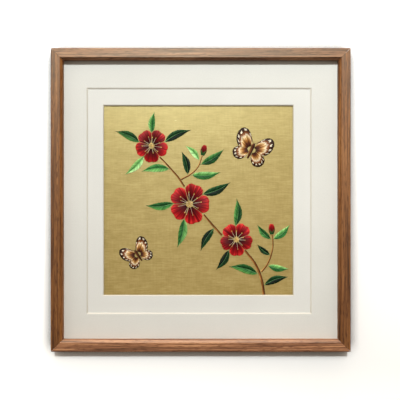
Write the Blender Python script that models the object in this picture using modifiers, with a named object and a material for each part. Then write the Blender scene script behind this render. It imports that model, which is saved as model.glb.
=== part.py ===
"""Embroidered silk panel under a double mat, in a mitred wooden frame that hangs on a wall.

Every piece is laid out face up, as on a framer's bench: X to the right, Y up the picture and
Z towards the viewer, with Z = 0 at the back of the rails. One empty then stands it upright.
"""

import math
from collections import namedtuple

import bmesh
import bpy
from mathutils import Vector

MM = 0.001
GAP = 0.3 * MM
CUT_THROUGH = 1 * MM

# Frame: outer size, and one rail's section
FRAME_WIDTH = 466 * MM
FRAME_HEIGHT = 472 * MM
RAIL_FACE = 17.8 * MM
RAIL_DEPTH = 33 * MM
INNER_CHAMFER = 3.5 * MM
OUTER_ROUNDING = 1 * MM
REBATE_DEPTH = 15 * MM
REBATE_LIP = 6.3 * MM
MITRE_CLEARANCE = 0.22 * MM

# Flat layers in the rebate
BOARD_CLEARANCE = 0.5 * MM
OUTER_MAT_THICKNESS = 2.2 * MM
INNER_MAT_THICKNESS = 1.4 * MM
SPACER_THICKNESS = 2.7 * MM
SPACER_SET_BACK = 6 * MM
SILK_THICKNESS = 1 * MM
SILK_CUT = 400 * MM
BACKING_THICKNESS = 2.5 * MM

# Mat windows, measured at the back of their bevels. Each was cut a little off the centre.
OUTER_WINDOW = (349.8 * MM, 351.9 * MM)
OUTER_WINDOW_CENTRE = (-2.3 * MM, -1.5 * MM)
SILK_WINDOW = (298.2 * MM, 298.6 * MM)
SILK_WINDOW_CENTRE = (-3.4 * MM, -0.4 * MM)

# Fittings on the back
STAND_OFF = 2.4 * MM
POINT_LENGTH = 12 * MM
POINT_WIDTH = 5 * MM
POINT_THICKNESS = 0.8 * MM
BUMPER_RADIUS = 5 * MM
BUMPER_INSET = 8 * MM
HANGER_WIDTH = 44 * MM
HANGER_HEIGHT = 8 * MM
HANGER_SHEET = 0.8 * MM
HANGER_RISE = 1.2 * MM
HANGER_FOOT = 7 * MM
HANGER_RAMP = 3 * MM
NAIL_HEAD_RADIUS = 1.7 * MM
NAIL_HEAD_HEIGHT = 0.9 * MM
TOOTH_PITCH = 2 * MM
TOOTH_DEPTH = 1.5 * MM
TEETH = 9
NOTCH_BELOW_TOP = 10 * MM

# Embroidery, in millimetres from the middle of the silk window
STITCH_EDGE = 0.35
LEAF_CROWN = 0.95
PETAL_CROWN = 1.05
WING_CROWN = 0.9
STEM_FLATTENING = 0.36
PETALS = 5

Stem = namedtuple("Stem", "name points start_width end_width")
STEMS = (
    Stem("stem_foot", ((104, -153), (100, -126), (90, -101), (73.4, -79.2)), 4.6, 3.4),
    Stem("stem_middle", ((37.2, -55.5), (27, -44.5), (17, -33), (8.4, -22.9)), 3.4, 3.0),
    Stem("stem_top", ((-22.4, 21.4), (-31, 35), (-44, 50), (-61.0, 68.2)), 3.0, 2.4),
    Stem("twig_right", ((99.6, -113.2), (108, -103), (115, -87), (118, -70), (116.5, -55)), 2.6, 1.8),
    Stem("twig_upper", ((-27.2, 33.0), (-14, 40), (-1, 52), (6, 70)), 2.4, 1.8),
)

Leaf = namedtuple("Leaf", "x y heading length width bend tone")
LEAVES = (
    Leaf(105.8, -133, 18, 38, 12, 2.5, "deep"),
    Leaf(92.6, -116, 166, 45, 14, -3, "mid"),
    Leaf(111.5, -104, -8, 32, 11, -2, "fresh"),
    Leaf(112.2, -86, 140, 25, 9, 1.5, "deep"),
    Leaf(119.8, -61, 42, 33, 11, -2.5, "fresh"),
    Leaf(113.4, -61, 132, 30, 10, 2, "mid"),
    Leaf(48.0, -80.0, 236, 36, 12, 2.5, "deep"),
    Leaf(59.2, -39.2, 88, 42, 13, -3, "mid"),
    Leaf(-22.6, -31.0, 256, 45, 14, 3, "fresh"),
    Leaf(23.6, -45.6, 240, 40, 12, -2.5, "deep"),
    Leaf(-40.4, -5.4, 184, 43, 13, 3, "mid"),
    Leaf(-9, 39.6, 6, 44, 13, -3, "fresh"),
    Leaf(-16.6, 42.2, 106, 36, 12, -2.5, "deep"),
    Leaf(5.4, 57, 34, 42, 13, -2.5, "mid"),
    Leaf(8.4, 9.6, 24, 46, 14, -3, "deep"),
    Leaf(0.6, 64.5, 134, 30, 10, -2, "pale"),
    Leaf(-47, 49.8, 186, 43, 13, -3, "fresh"),
    Leaf(-52.2, 93, 24, 44, 13, 3, "deep"),
    Leaf(-73.8, 107.8, 82, 32, 11, 2, "fresh"),
    Leaf(-94.6, 92.8, 156, 40, 13, -2.5, "mid"),
    Leaf(-86.8, 68.4, 224, 40, 12, 2.5, "pale"),
)

Blossom = namedtuple("Blossom", "name x y radius turn")
BLOSSOMS = (
    Blossom("blossom_low", 60, -62, 27, 20),
    Blossom("blossom_middle", -14, -6, 33, 35),
    Blossom("blossom_top", -74, 86, 27, 18),
)

Bud = namedtuple("Bud", "name x y heading length width")
BUDS = (
    Bud("bud_right", 116.2, -53.4, 92, 16, 10),
    Bud("bud_upper", 6.6, 71.6, 76, 16, 10),
)

Butterfly = namedtuple("Butterfly", "name x y span turn")
BUTTERFLIES = (
    Butterfly("butterfly_large", 84, 80, 38, -24),
    Butterfly("butterfly_small", -96, -86, 30, 34),
)

# A right wing's outline seen from the body: the angle above the horizontal and the reach
WingPoint = namedtuple("WingPoint", "angle reach")
WING = (
    WingPoint(-82, 0.42), WingPoint(-68, 0.66), WingPoint(-52, 0.77), WingPoint(-36, 0.77),
    WingPoint(-20, 0.68), WingPoint(-8, 0.53), WingPoint(4, 0.62), WingPoint(18, 0.76),
    WingPoint(32, 0.89), WingPoint(44, 0.98), WingPoint(54, 0.99), WingPoint(64, 0.86),
    WingPoint(73, 0.60), WingPoint(80, 0.36),
)
WING_FOLD_ANGLE = -8

Finish = namedtuple("Finish", "colour roughness metallic")
FINISHES = {
    "walnut": Finish((0.25, 0.11, 0.045), 0.5, 0),
    "outer_mat": Finish((0.80, 0.76, 0.69), 0.95, 0),
    "inner_mat": Finish((0.82, 0.79, 0.73), 0.95, 0),
    "spacer": Finish((0.85, 0.85, 0.83), 0.95, 0),
    "gold_silk": Finish((0.50, 0.38, 0.15), 0.45, 0),
    "backing": Finish((0.30, 0.19, 0.10), 0.9, 0),
    "steel": Finish((0.55, 0.53, 0.50), 0.35, 1),
    "felt": Finish((0.10, 0.08, 0.07), 1, 0),
    "deep": Finish((0.008, 0.045, 0.026), 0.45, 0),
    "mid": Finish((0.03, 0.20, 0.055), 0.45, 0),
    "fresh": Finish((0.12, 0.47, 0.14), 0.45, 0),
    "pale": Finish((0.45, 0.74, 0.32), 0.45, 0),
    "bark": Finish((0.30, 0.11, 0.03), 0.5, 0),
    "red": Finish((0.45, 0.012, 0.025), 0.45, 0),
    "ochre": Finish((0.62, 0.33, 0.07), 0.5, 0),
    "wing_brown": Finish((0.09, 0.03, 0.018), 0.5, 0),
    "body_brown": Finish((0.03, 0.012, 0.009), 0.5, 0),
}


def clear_scene():
    for obj in list(bpy.data.objects):
        bpy.data.objects.remove(obj, do_unlink=True)


def make_collection(name):
    collection = bpy.data.collections.new(name)
    bpy.context.scene.collection.children.link(collection)
    return collection


def make_material(name):
    finish = FINISHES[name]
    material = bpy.data.materials.new(name)
    material.use_nodes = True
    shader = material.node_tree.nodes["Principled BSDF"]
    shader.inputs["Base Color"].default_value = (*finish.colour, 1)
    shader.inputs["Roughness"].default_value = finish.roughness
    shader.inputs["Metallic"].default_value = finish.metallic
    return material


clear_scene()
PARTS = make_collection("framed_silk_panel")
CUTTERS = make_collection("cutters")
MATERIALS = {name: make_material(name) for name in FINISHES}


def make_empty(name, parent=None):
    empty = bpy.data.objects.new(name, None)
    empty.empty_display_size = 0.05
    empty.parent = parent
    PARTS.objects.link(empty)
    return empty


def mesh_object(name, bm, finish, parent, smooth=True):
    """Turn a bmesh into a named part with its own material."""
    bmesh.ops.recalc_face_normals(bm, faces=bm.faces)
    mesh = bpy.data.meshes.new(name)
    bm.to_mesh(mesh)
    bm.free()
    if smooth:
        mesh.shade_smooth()
        mesh.set_sharp_from_angle(angle=math.radians(35))
    obj = bpy.data.objects.new(name, mesh)
    obj.data.materials.append(MATERIALS[finish])
    obj.parent = parent
    PARTS.objects.link(obj)
    return obj


def boolean(obj, bm, operation, parent):
    """Cut or join a helper solid, which stays out of the render."""
    bmesh.ops.recalc_face_normals(bm, faces=bm.faces)
    mesh = bpy.data.meshes.new(f"{obj.name}_{operation.lower()}")
    bm.to_mesh(mesh)
    bm.free()
    helper = bpy.data.objects.new(mesh.name, mesh)
    helper.parent = parent
    helper.hide_render = True
    helper.display_type = "WIRE"
    CUTTERS.objects.link(helper)
    modifier = obj.modifiers.new(operation.title(), "BOOLEAN")
    modifier.operation = operation
    modifier.solver = "EXACT"
    modifier.object = helper


def block(width, height, back, front, centre=(0, 0)):
    """A rectangular board between two levels."""
    bm = bmesh.new()
    bmesh.ops.create_cube(bm, size=1)
    bmesh.ops.scale(bm, vec=(width, height, front - back), verts=bm.verts)
    bmesh.ops.translate(bm, vec=(*centre, (front + back) / 2), verts=bm.verts)
    return bm


def prism(outline, back, front):
    """A flat outline pushed from one level to another."""
    bm = bmesh.new()
    face = bm.faces.new([bm.verts.new((x, y, back)) for x, y in outline])
    pushed = bmesh.ops.extrude_face_region(bm, geom=[face])["geom"]
    for vert in pushed:
        if isinstance(vert, bmesh.types.BMVert):
            vert.co.z = front
    return bm


def layer_behind(layer, thickness):
    front = layer[0] - GAP
    return front - thickness, front


OUTER_MAT_LAYER = layer_behind((REBATE_DEPTH, RAIL_DEPTH), OUTER_MAT_THICKNESS)
INNER_MAT_LAYER = layer_behind(OUTER_MAT_LAYER, INNER_MAT_THICKNESS)
SPACER_LAYER = layer_behind(INNER_MAT_LAYER, SPACER_THICKNESS)
SILK_LAYER = layer_behind(SPACER_LAYER, SILK_THICKNESS)
BACKING_LAYER = layer_behind(SILK_LAYER, BACKING_THICKNESS)
POINT_LAYER = layer_behind(BACKING_LAYER, POINT_THICKNESS)
BOARD_WIDTH = FRAME_WIDTH - 2 * (RAIL_FACE - REBATE_LIP + BOARD_CLEARANCE)
BOARD_HEIGHT = FRAME_HEIGHT - 2 * (RAIL_FACE - REBATE_LIP + BOARD_CLEARANCE)


def rounded_corner(level, first_angle):
    """A quarter turn at the rail's outer edge, as (distance in from the edge, level) points."""
    arc = []
    for step in range(4):
        angle = math.radians(first_angle - 30 * step)
        arc.append((OUTER_ROUNDING * (1 + math.cos(angle)), level + OUTER_ROUNDING * math.sin(angle)))
    return arc


def rail_section():
    """The rail's section: face, inner chamfer, sight wall, rebate, back and the two outer corners."""
    rebate_wall = RAIL_FACE - REBATE_LIP
    inner = [
        (RAIL_FACE - INNER_CHAMFER, RAIL_DEPTH),
        (RAIL_FACE, RAIL_DEPTH - INNER_CHAMFER),
        (RAIL_FACE, REBATE_DEPTH),
        (rebate_wall, REBATE_DEPTH),
        (rebate_wall, 0),
    ]
    back_corner = rounded_corner(OUTER_ROUNDING, 270)
    front_corner = rounded_corner(RAIL_DEPTH - OUTER_ROUNDING, 180)
    return front_corner + inner + back_corner


def rail(name, length, span, turn, bench):
    """One mitred rail: its section drawn at one mitre and pushed across to the other."""
    bm = bmesh.new()
    end = []
    for inward, level in rail_section():
        end.append(bm.verts.new((length / 2 - inward - MITRE_CLEARANCE, span / 2 - inward, level)))
    face = bm.faces.new(end)
    pushed = bmesh.ops.extrude_face_region(bm, geom=[face])["geom"]
    for vert in pushed:
        if isinstance(vert, bmesh.types.BMVert):
            vert.co.x = -vert.co.x
    obj = mesh_object(name, bm, "walnut", bench)
    obj.rotation_euler.z = math.radians(turn)


def mat(name, layer, window, centre, finish, bench):
    """A board with a window whose edge is bevelled at 45 degrees, wider at the front."""
    back, front = layer
    obj = mesh_object(name, block(BOARD_WIDTH, BOARD_HEIGHT, back, front), finish, bench, smooth=False)
    bm = bmesh.new()
    bmesh.ops.create_cube(bm, size=2)
    for vert in bm.verts:
        level = front + CUT_THROUGH if vert.co.z > 0 else back - CUT_THROUGH
        vert.co.x = centre[0] + vert.co.x * (window[0] / 2 + level - back)
        vert.co.y = centre[1] + vert.co.y * (window[1] / 2 + level - back)
        vert.co.z = level
    boolean(obj, bm, "DIFFERENCE", bench)


def spacer(bench):
    """The strip frame that holds the inner mat off the silk, set back out of sight."""
    back, front = SPACER_LAYER
    obj = mesh_object("mat_spacer", block(BOARD_WIDTH, BOARD_HEIGHT, back, front), "spacer", bench, False)
    width, height = (side + 2 * SPACER_SET_BACK for side in SILK_WINDOW)
    cutter = block(width, height, back - CUT_THROUGH, front + CUT_THROUGH, SILK_WINDOW_CENTRE)
    boolean(obj, cutter, "DIFFERENCE", bench)


def retaining_points(bench):
    """Flat steel points that reach from the rebate's wall over the backing board."""
    side = BOARD_WIDTH / 2 + BOARD_CLEARANCE - GAP
    top = BOARD_HEIGHT / 2 + BOARD_CLEARANCE - GAP
    # Name, place of the outer end, and the way the point faces
    seats = (
        ("point_top", 0, top, 270),
        ("point_bottom", 0, -top, 90),
        ("point_left_high", -side, BOARD_HEIGHT / 4, 0),
        ("point_left_low", -side, -BOARD_HEIGHT / 4, 0),
        ("point_right_high", side, BOARD_HEIGHT / 4, 180),
        ("point_right_low", side, -BOARD_HEIGHT / 4, 180),
    )
    half = POINT_WIDTH / 2
    outline = ((0, -half), (POINT_LENGTH - half, -half), (POINT_LENGTH, -half / 4),
               (POINT_LENGTH, half / 4), (POINT_LENGTH - half, half), (0, half))
    for name, x, y, turn in seats:
        obj = mesh_object(name, prism(outline, *POINT_LAYER), "steel", bench, smooth=False)
        obj.location = (x, y, 0)
        obj.rotation_euler.z = math.radians(turn)


def bumpers(bench):
    """Felt discs under the lower corners, as thick as the hanger stands proud."""
    for name, side in (("bumper_left", -1), ("bumper_right", 1)):
        bm = bmesh.new()
        depth = STAND_OFF - GAP
        bmesh.ops.create_cone(
            bm, cap_ends=True, segments=24, radius1=0.94 * BUMPER_RADIUS, radius2=BUMPER_RADIUS, depth=depth)
        obj = mesh_object(name, bm, "felt", bench)
        x = side * (FRAME_WIDTH / 2 - BUMPER_INSET)
        obj.location = (x, BUMPER_INSET - FRAME_HEIGHT / 2, -GAP - depth / 2)


def hanger(bench):
    """A bent strip whose raised middle has teeth along its lower edge, nailed down at both feet."""
    half = HANGER_WIDTH / 2
    foot_level = -GAP - HANGER_SHEET / 2
    raised_level = foot_level - HANGER_RISE
    bends = ((half, foot_level), (half - HANGER_FOOT, foot_level),
             (half - HANGER_FOOT - HANGER_RAMP, raised_level))
    bm = bmesh.new()
    path = [(-x, level) for x, level in bends] + [(x, level) for x, level in reversed(bends)]
    notch_level = FRAME_HEIGHT / 2 - NOTCH_BELOW_TOP
    strip_top = notch_level - TOOTH_DEPTH + HANGER_HEIGHT
    verts = [bm.verts.new((x, strip_top, level)) for x, level in path]
    edges = [bm.edges.new(pair) for pair in zip(verts, verts[1:])]
    drawn = bmesh.ops.extrude_edge_only(bm, edges=edges)["geom"]
    lower = [vert for vert in drawn if isinstance(vert, bmesh.types.BMVert)]
    bmesh.ops.translate(bm, vec=(0, -HANGER_HEIGHT, 0), verts=lower)
    obj = mesh_object("sawtooth_hanger", bm, "steel", bench, smooth=False)
    thickness = obj.modifiers.new("Sheet", "SOLIDIFY")
    thickness.thickness = HANGER_SHEET
    thickness.offset = 0

    half_row = TEETH * TOOTH_PITCH / 2
    tip_level = notch_level - 1.05 * TOOTH_DEPTH
    below = notch_level - 3 * TOOTH_DEPTH
    outline = [(half_row + TOOTH_PITCH / 2, below), (-half_row - TOOTH_PITCH / 2, below)]
    for tooth in range(TEETH):
        left = -half_row + tooth * TOOTH_PITCH
        outline.append((left, tip_level))
        outline.append((left + TOOTH_PITCH / 2, notch_level))
    outline.append((half_row, tip_level))
    cutter = prism(outline, raised_level - CUT_THROUGH, raised_level + CUT_THROUGH)
    boolean(obj, cutter, "DIFFERENCE", bench)

    bm = bmesh.new()
    for side in (-1, 1):
        head = bmesh.ops.create_cone(bm, cap_ends=True, segments=14, radius1=0.65 * NAIL_HEAD_RADIUS,
                                     radius2=NAIL_HEAD_RADIUS, depth=NAIL_HEAD_HEIGHT)
        nail_x = side * (half - HANGER_FOOT / 2)
        place = Vector((nail_x, strip_top - HANGER_HEIGHT / 2, foot_level - NAIL_HEAD_HEIGHT / 2))
        bmesh.ops.translate(bm, vec=place, verts=head["verts"])
    boolean(obj, bm, "UNION", bench)


def bump(value, centre, spread):
    """A smooth hill of height 1."""
    return math.exp(-((value - centre) / spread) ** 2)


def pad(name, finish, cells, place, rise, parent, ring=False):
    """A raised patch of stitching: a grid laid out by place(u, v), flat below, rise(u, v) thick.

    u and v run from 0 to 1. A ring joins its two u ends.
    """
    bm = bmesh.new()
    bmesh.ops.create_grid(bm, x_segments=cells[0], y_segments=cells[1], size=0.5)
    spots = {vert: (vert.co.x + 0.5, vert.co.y + 0.5) for vert in bm.verts}
    for vert, (u, v) in spots.items():
        x, y = place(u, v)
        vert.co = Vector((x, y, 0)) * MM
    heights = {tuple(vert.co): rise(u, v) * MM for vert, (u, v) in spots.items()}
    if ring:
        bmesh.ops.remove_doubles(bm, verts=bm.verts, dist=0.01 * MM)
    raised = bmesh.ops.extrude_face_region(bm, geom=bm.faces[:])["geom"]
    for vert in raised:
        if isinstance(vert, bmesh.types.BMVert):
            vert.co.z = heights[tuple(vert.co)]
    mesh_object(name, bm, finish, parent)


def leaf_breadth(u):
    """Share of the leaf's width at u: narrow at its foot, widest before the middle, drawn to a tip."""
    return 0.05 + 0.95 * max(0.0, math.sin(math.pi * u ** 0.78)) ** 0.9 * (1 - u ** 6)


def leaf_frame(row):
    heading = math.radians(row.heading)
    along = Vector((math.cos(heading), math.sin(heading)))
    return Vector((row.x, row.y)), along, Vector((-along.y, along.x))


def leaf(name, row, plane):
    foot, along, across = leaf_frame(row)

    def place(u, v):
        side = (2 * v - 1) * row.width / 2 * leaf_breadth(u) + row.bend * math.sin(math.pi * u)
        return foot + along * (row.length * u) + across * side

    def rise(u, v):
        across_half = abs(2 * v - 1)
        crown = (LEAF_CROWN - STITCH_EDGE) * math.sin(math.pi * across_half)
        return STITCH_EDGE + crown * (0.6 + 0.4 * math.sin(math.pi * u))

    pad(name, row.tone, (9, 4), place, rise, plane)


def bud(row, plane):
    foot, along, across = leaf_frame(row)

    def place(u, v):
        breadth = 0.16 + 0.84 * math.sin(math.pi * min(1, 0.08 + 0.86 * u)) ** 0.7
        return foot + along * (row.length * u) + across * ((v - 0.5) * row.width * breadth)

    def rise(u, v):
        return STITCH_EDGE + (PETAL_CROWN - STITCH_EDGE) * math.sin(math.pi * v) ** 0.7

    pad(row.name, "red", (6, 4), place, rise, plane)


def petal_reach(turn_share):
    """Share of the blossom's radius at a share of a full turn: five rounded lobes, unlike in length."""
    petal = int(turn_share * PETALS) % PETALS
    across = 2 * (turn_share * PETALS % 1) - 1
    length = 1 - 0.035 * (petal * 2 % PETALS) / (PETALS - 1)
    return length * (1 - 0.25 * abs(across) ** 3.2 - 0.045 * bump(across, 0, 0.2))


def blossom(row, plane):
    inner = 0.19 * row.radius
    crown = PETAL_CROWN - STITCH_EDGE

    def place(u, v):
        angle = math.radians(row.turn) + 2 * math.pi * u
        reach = inner + (row.radius * petal_reach(u % 1) - inner) * v
        return row.x + reach * math.cos(angle), row.y + reach * math.sin(angle)

    def rise(u, v):
        across = abs(2 * (u * PETALS % 1) - 1)
        if across > 0.99:
            return STITCH_EDGE * 0.8
        return STITCH_EDGE + crown * (1 - across ** 2) * (0.5 + 0.5 * math.sin(math.pi * v ** 1.3))

    pad(row.name, "red", (8 * PETALS, 4), place, rise, plane, ring=True)

    bm = bmesh.new()
    bmesh.ops.create_uvsphere(bm, u_segments=14, v_segments=8, radius=inner * 0.9 * MM)
    bmesh.ops.bisect_plane(bm, geom=bm.verts[:] + bm.edges[:] + bm.faces[:], plane_co=(0, 0, 0),
                           plane_no=(0, 0, 1), clear_inner=True)
    bmesh.ops.holes_fill(bm, edges=[edge for edge in bm.edges if edge.is_boundary])
    bmesh.ops.scale(bm, vec=(1, 1, 0.3), verts=bm.verts)
    centre = mesh_object(row.name.replace("blossom", "stamens"), bm, "ochre", plane)
    centre.location = (row.x * MM, row.y * MM, 0)


def wing_reach(angle):
    """The wing's outline, drawn smoothly through its points."""
    after = next((i for i, point in enumerate(WING) if point.angle >= angle), len(WING) - 1)
    after = max(after, 1)
    first, second = WING[after - 1], WING[after]
    before = WING[max(after - 2, 0)]
    beyond = WING[min(after + 1, len(WING) - 1)]
    t = (angle - first.angle) / (second.angle - first.angle)
    slope_in = (second.reach - before.reach) / 2
    slope_out = (beyond.reach - first.reach) / 2
    return ((2 * t ** 3 - 3 * t ** 2 + 1) * first.reach + (t ** 3 - 2 * t ** 2 + t) * slope_in
            + (3 * t ** 2 - 2 * t ** 3) * second.reach + (t ** 3 - t ** 2) * slope_out)


def butterfly(row, plane):
    turn = math.radians(row.turn)
    facing = Vector((-math.sin(turn), math.cos(turn)))
    rightward = Vector((facing.y, -facing.x))
    centre = Vector((row.x, row.y))
    root = 0.085 * row.span
    lowest, highest = WING[0].angle, WING[-1].angle

    for side_name, side in (("right", 1), ("left", -1)):
        def place(u, v):
            angle = lowest + (highest - lowest) * u
            reach = root * 1.4 + (row.span * wing_reach(angle) - root * 1.4) * v
            sideways = root * 0.66 + reach * math.cos(math.radians(angle))
            forward = reach * math.sin(math.radians(angle)) * 0.92
            return centre + rightward * (side * sideways) + facing * forward

        def rise(u, v):
            angle = lowest + (highest - lowest) * u
            fold = 1 - 0.75 * bump(angle, WING_FOLD_ANGLE, 7)
            edge = math.sin(math.pi * min(1, max(0, u))) ** 0.4
            return STITCH_EDGE + (WING_CROWN - STITCH_EDGE) * fold * edge * math.sin(math.pi * v) ** 0.5

        pad(f"{row.name}_{side_name}_wings", "wing_brown", (22, 3), place, rise, plane)

    tail, head = centre - facing * (0.40 * row.span), centre + facing * (0.27 * row.span)
    points = [tail.lerp(head, share) for share in (0, 0.3, 0.6, 0.86, 1)]
    widths = [share * 2 * root for share in (0.35, 0.75, 0.85, 0.9, 0.5)]
    tube(f"{row.name}_body", points, widths, "body_brown", plane)


def tube(name, points, widths, finish, plane):
    """A flattened cord of thread through points in millimetres, with its own width at each."""
    curve = bpy.data.curves.new(name, "CURVE")
    curve.dimensions = "3D"
    curve.bevel_depth = 0.5 * MM
    curve.bevel_resolution = 2
    curve.resolution_u = 4
    curve.use_fill_caps = True
    spline = curve.splines.new("BEZIER")
    spline.bezier_points.add(len(points) - 1)
    for knot, (x, y), width in zip(spline.bezier_points, points, widths):
        knot.co = (x * MM, y * MM, 0)
        knot.handle_left_type = knot.handle_right_type = "AUTO"
        knot.radius = width
    obj = bpy.data.objects.new(name, curve)
    obj.data.materials.append(MATERIALS[finish])
    obj.parent = plane
    obj.scale.z = STEM_FLATTENING
    obj.location.z = max(widths) / 2 * STEM_FLATTENING * MM
    PARTS.objects.link(obj)


def stem(row, plane):
    steps = len(row.points) - 1
    widths = [row.start_width + (row.end_width - row.start_width) * i / steps for i in range(steps + 1)]
    tube(row.name, row.points, widths, "bark", plane)


def build():
    """The empty on the wall, the bench that carries the frame, and the plane of the stitching."""
    nail = make_empty("nail_point")
    bench = make_empty("bench", nail)
    bench.rotation_euler.x = math.radians(90)
    bench.location = (0, -STAND_OFF, NOTCH_BELOW_TOP - FRAME_HEIGHT / 2)
    plane = make_empty("silk_face", bench)
    plane.location = (*SILK_WINDOW_CENTRE, SILK_LAYER[1] + GAP)

    rail("rail_top", FRAME_WIDTH, FRAME_HEIGHT, 0, bench)
    rail("rail_left", FRAME_HEIGHT, FRAME_WIDTH, 90, bench)
    rail("rail_bottom", FRAME_WIDTH, FRAME_HEIGHT, 180, bench)
    rail("rail_right", FRAME_HEIGHT, FRAME_WIDTH, 270, bench)
    mat("mat_outer", OUTER_MAT_LAYER, OUTER_WINDOW, OUTER_WINDOW_CENTRE, "outer_mat", bench)
    mat("mat_inner", INNER_MAT_LAYER, SILK_WINDOW, SILK_WINDOW_CENTRE, "inner_mat", bench)
    spacer(bench)
    silk = block(SILK_CUT, SILK_CUT, *SILK_LAYER, SILK_WINDOW_CENTRE)
    mesh_object("silk_panel", silk, "gold_silk", bench, smooth=False)
    backing = block(BOARD_WIDTH, BOARD_HEIGHT, *BACKING_LAYER)
    mesh_object("backing_board", backing, "backing", bench, smooth=False)
    retaining_points(bench)
    bumpers(bench)
    hanger(bench)

    for row in STEMS:
        stem(row, plane)
    for number, row in enumerate(LEAVES, 1):
        leaf(f"leaf_{number:02d}", row, plane)
    for row in BLOSSOMS:
        blossom(row, plane)
    for row in BUDS:
        bud(row, plane)
    for row in BUTTERFLIES:
        butterfly(row, plane)


build()
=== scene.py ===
import math
import random

import bmesh
import bpy
from mathutils import Matrix, Vector, noise


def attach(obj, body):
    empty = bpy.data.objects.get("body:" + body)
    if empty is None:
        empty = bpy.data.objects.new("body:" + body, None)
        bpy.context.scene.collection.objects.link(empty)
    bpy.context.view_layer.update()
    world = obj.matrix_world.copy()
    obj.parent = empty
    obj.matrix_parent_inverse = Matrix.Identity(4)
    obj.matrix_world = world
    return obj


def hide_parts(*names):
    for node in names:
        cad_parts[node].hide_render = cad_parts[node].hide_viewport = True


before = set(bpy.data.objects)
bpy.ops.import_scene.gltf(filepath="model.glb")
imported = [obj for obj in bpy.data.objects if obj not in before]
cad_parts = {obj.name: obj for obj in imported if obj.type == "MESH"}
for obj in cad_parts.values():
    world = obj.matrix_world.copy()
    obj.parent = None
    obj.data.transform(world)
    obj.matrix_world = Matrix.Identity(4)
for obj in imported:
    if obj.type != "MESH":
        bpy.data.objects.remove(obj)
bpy.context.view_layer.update()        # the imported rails, boards, silk, stitching and back fittings
random.seed(41)
print("frame loaded:", len(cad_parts), "nodes")

# The stitching is drawn in millimetres from the middle of the silk window: right, up, and out to the viewer.
panel = {
    "middle": (-0.0034, -0.2264),    # that middle on the wall, in metres
    "foot": -0.0102,                 # where the stitching starts, in front of the wall
}
silkToWorld = (Matrix.Translation((panel["middle"][0], panel["foot"], panel["middle"][1]))
               @ Matrix.Rotation(math.radians(90), 4, "X") @ Matrix.Scale(0.001, 4))


# Materials

def hexColour(code):
    # an sRGB hex value as the linear colour a shader takes
    shares = [int(code[i:i + 2], 16) / 255 for i in (1, 3, 5)]
    return [c / 12.92 if c <= 0.04045 else ((c + 0.055) / 1.055) ** 2.4 for c in shares] + [1]


def addNode(tree, kind, settings=None, inputs=None, stops=None):
    # inputs takes a plain value, or another node's output, for each socket
    node = tree.nodes.new("ShaderNode" + kind)
    for key, value in (settings or {}).items():
        setattr(node, key, value)
    for key, value in (inputs or {}).items():
        if isinstance(value, bpy.types.NodeSocket):
            tree.links.new(value, node.inputs[key])
        else:
            node.inputs[key].default_value = value
    if stops:
        elements = node.color_ramp.elements
        while len(elements) < len(stops):
            elements.new(1)
        for element, (position, colour) in zip(elements, stops):
            element.position = position
            element.color = hexColour(colour)
    return node


def newMaterial(name, values):
    # values are set on the shader's own sockets
    material = bpy.data.materials.new(name)
    material.use_nodes = True
    shader = material.node_tree.nodes["Principled BSDF"]
    for key, value in values.items():
        shader.inputs[key].default_value = value
    return material, material.node_tree, shader


def streakNoise(tree, coords, perMetre, detail=4, roughness=0.6, distortion=0.0):
    # noise with its own number of cells to the metre along each axis
    mapped = addNode(tree, "Mapping", inputs={"Vector": coords, "Scale": perMetre})
    return addNode(tree, "TexNoise", {"noise_dimensions": "3D"}, {
        "Vector": mapped.outputs[0], "Scale": 1, "Detail": detail, "Roughness": roughness,
        "Distortion": distortion}).outputs["Fac"]


def blendValues(tree, first, second, share):
    # first + (second - 0.5) * share
    return addNode(tree, "Math", {"operation": "MULTIPLY_ADD"},
                   {0: second, 1: share, 2: addNode(tree, "Math", {"operation": "SUBTRACT"},
                                                    {0: first, 1: share / 2}).outputs[0]}).outputs[0]


woodLook = {
    "colours": ((0.22, "#3f2312"), (0.40, "#693d20"), (0.52, "#80502c"), (0.64, "#935f36"),
                (0.80, "#a87547")),
    "figure": (3.5, 130),    # cells to the metre along and across the grain: 290 mm by 8 mm
    "lines": (9, 560),       # growth lines, 110 mm by 1.8 mm
    "pores": (85, 800),      # real pores are 0.2 mm wide, drawn 1.2 mm wide so that they show
    "poreColour": "#96765c",
    "poreEdge": (0.52, 0.68), "poreDepth": 0.85,    # where a pore starts and is full, and how much it tints
    "lineShare": 1.4,        # growth lines against the slower figure
    "relief": 0.0003,        # metres
    "under": 0.68,           # painted shade: faces that look down are darkened to this share
    "right": 1.35,           # painted light: faces that look right are lightened by this much
    "waxed": 0.34,           # roughness of the front
    "sawn": 0.8,             # and of the side walls
    "gloss": 0.66,
    "glossColour": "#ffe6c8",
}


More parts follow.
